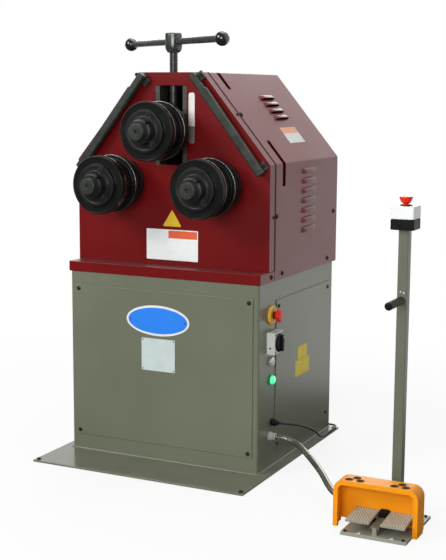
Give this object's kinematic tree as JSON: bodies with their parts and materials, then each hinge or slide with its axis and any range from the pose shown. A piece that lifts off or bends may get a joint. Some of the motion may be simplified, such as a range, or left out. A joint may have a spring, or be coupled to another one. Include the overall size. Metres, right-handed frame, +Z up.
{
  "type": "ring roller",
  "caption": "Ring roller with grooved rollers, a T-handle feed screw and a geared head on a steel cabinet, and a conduit to a foot-pedal station with an emergency-stop post.",
  "frame": {"origin": "centre of the floor plate's underside", "axes": "+X to the machine's right as its user faces it, +Y from the rollers to the back, +Z up"},
  "size_m": [1.2821, 1.1123, 1.332],
  "materials": {
    "olive_paint": "semi-gloss olive-grey enamel",
    "plate_steel": "worn painted plate with a sheen",
    "red_paint": "glossy dark red enamel",
    "black_steel": "blackened tool steel with bright rims",
    "ground_steel": "ground steel",
    "bar_steel": "dark green-grey enamel",
    "bronze": "machined bronze",
    "cast_iron": "machined cast iron",
    "motor_paint": "grey machine paint",
    "black_plastic": "black moulded plastic",
    "grey_plastic": "light grey moulded plastic",
    "white_plastic": "white moulded plastic",
    "red_plastic": "red moulded plastic",
    "yellow_plastic": "yellow moulded plastic",
    "green_lens": "green lens in a bezel",
    "zinc": "bright zinc plate",
    "conduit_skin": "smooth grey-buff conduit skin",
    "cable_rubber": "black cable jacket",
    "orange_paint": "glossy orange enamel",
    "tread_metal": "textured warm grey casting"
  },
  "bodies": {
    "machine": {"floor_plate": "plate_steel", "cabinet_body": "olive_paint", "front_access_panel": "olive_paint", "right_access_panel": "olive_paint", "control_box": "grey_plastic", "head_tray": "red_paint", "front_plate": "red_paint", "left_slide_gib": "ground_steel", "right_slide_gib": "ground_steel", "head_cover": "red_paint", "head_rear_cover": "red_paint", "feed_nut": "bronze", "left_guide_bar": "bar_steel", "right_guide_bar": "bar_steel", "gear_reducer": "motor_paint", "drive_motor": "motor_paint", "estop_collar": "yellow_plastic", "isolator_box": "grey_plastic", "key_switch": "zinc", "power_lamp": "green_lens", "cable_gland": "black_plastic", "conduit_fitting": "zinc", "pedal_conduit": "conduit_skin", "mains_cable": "cable_rubber", "mains_coil": "cable_rubber", "mains_plug": "black_plastic", "pedal_base": "tread_metal", "pedal_guard": "orange_paint", "station_post": "olive_paint", "station_grip": "black_plastic", "station_box": "black_plastic", "station_lid": "white_plastic", "lower_left_housing": "cast_iron", "lower_right_housing": "cast_iron"},
    "slide": {"upper_slide": "cast_iron"},
    "upper_roller_set": {"upper_shaft": "ground_steel", "upper_roller": "black_steel", "upper_disc": "black_steel", "upper_ring_nut": "black_steel"},
    "feed_screw_set": {"feed_screw": "ground_steel", "handle_hub": "black_steel", "handle_bar": "black_steel", "left_ball_knob": "black_plastic", "right_ball_knob": "black_plastic"},
    "left_roller_set": {"lower_left_shaft": "ground_steel", "lower_left_roller": "black_steel", "lower_left_disc": "black_steel", "lower_left_ring_nut": "black_steel", "lower_left_gear": "cast_iron"},
    "right_roller_set": {"lower_right_shaft": "ground_steel", "lower_right_roller": "black_steel", "lower_right_disc": "black_steel", "lower_right_ring_nut": "black_steel", "lower_right_gear": "cast_iron"},
    "pinion": {"drive_pinion": "ground_steel"},
    "estop": {"estop_button": "red_plastic"},
    "isolator": {"isolator_knob": "black_plastic"},
    "station_stop": {"station_estop": "red_plastic"},
    "left_treadle": {"left_pedal": "tread_metal"},
    "right_treadle": {"right_pedal": "tread_metal"}
  },
  "joints": [
    {"name": "top_slide", "type": "slide", "parent": "machine", "child": "slide", "axis": [0, 0, 1], "range_m": [-0.055, 0.06]},
    {"name": "screw_turn", "type": "hinge", "parent": "slide", "child": "feed_screw_set", "pos_m": [0, -0.135, 1.1], "axis": [0, 0, 1], "range_deg": [-3300, 3600]},
    {"name": "upper_roller_spin", "type": "hinge", "parent": "slide", "child": "upper_roller_set", "pos_m": [0, -0.26, 1.039], "axis": [0, 1, 0], "continuous": true},
    {"name": "lower_left_spin", "type": "hinge", "parent": "machine", "child": "left_roller_set", "pos_m": [-0.168, -0.26, 0.874], "axis": [0, 1, 0], "continuous": true},
    {"name": "lower_right_spin", "type": "hinge", "parent": "machine", "child": "right_roller_set", "pos_m": [0.168, -0.26, 0.874], "axis": [0, 1, 0], "continuous": true},
    {"name": "pinion_spin", "type": "hinge", "parent": "machine", "child": "pinion", "pos_m": [0, 0.02, 0.76548], "axis": [0, 1, 0], "continuous": true},
    {"name": "estop_push", "type": "slide", "parent": "machine", "child": "estop", "axis": [-1, 0, 0], "range_m": [0, 0.004], "stiffness_N_per_m": 2500},
    {"name": "isolator_turn", "type": "hinge", "parent": "machine", "child": "isolator", "pos_m": [0.3573, -0.124, 0.403], "axis": [1, 0, 0], "range_deg": [0, 90]},
    {"name": "station_estop_push", "type": "slide", "parent": "machine", "child": "station_stop", "axis": [0, 0, -1], "range_m": [0, 0.004], "stiffness_N_per_m": 2500},
    {"name": "left_pedal_press", "type": "hinge", "parent": "machine", "child": "left_treadle", "pos_m": [0.7645, -0.454, 0.03], "axis": [1, 0, 0], "range_deg": [0, 8], "stiffness_Nm_per_rad": 5, "springref_deg": -6.88},
    {"name": "right_pedal_press", "type": "hinge", "parent": "machine", "child": "right_treadle", "pos_m": [0.8615, -0.454, 0.03], "axis": [1, 0, 0], "range_deg": [0, 8], "stiffness_Nm_per_rad": 5, "springref_deg": -6.88}
  ],
  "couplings": [
    {"joint": "top_slide", "follows": "screw_turn", "m_per_rad": 0.00095492},
    {"joint": "lower_right_spin", "follows": "lower_left_spin", "ratio": 1},
    {"joint": "pinion_spin", "follows": "lower_left_spin", "ratio": -1.5}
  ]
}
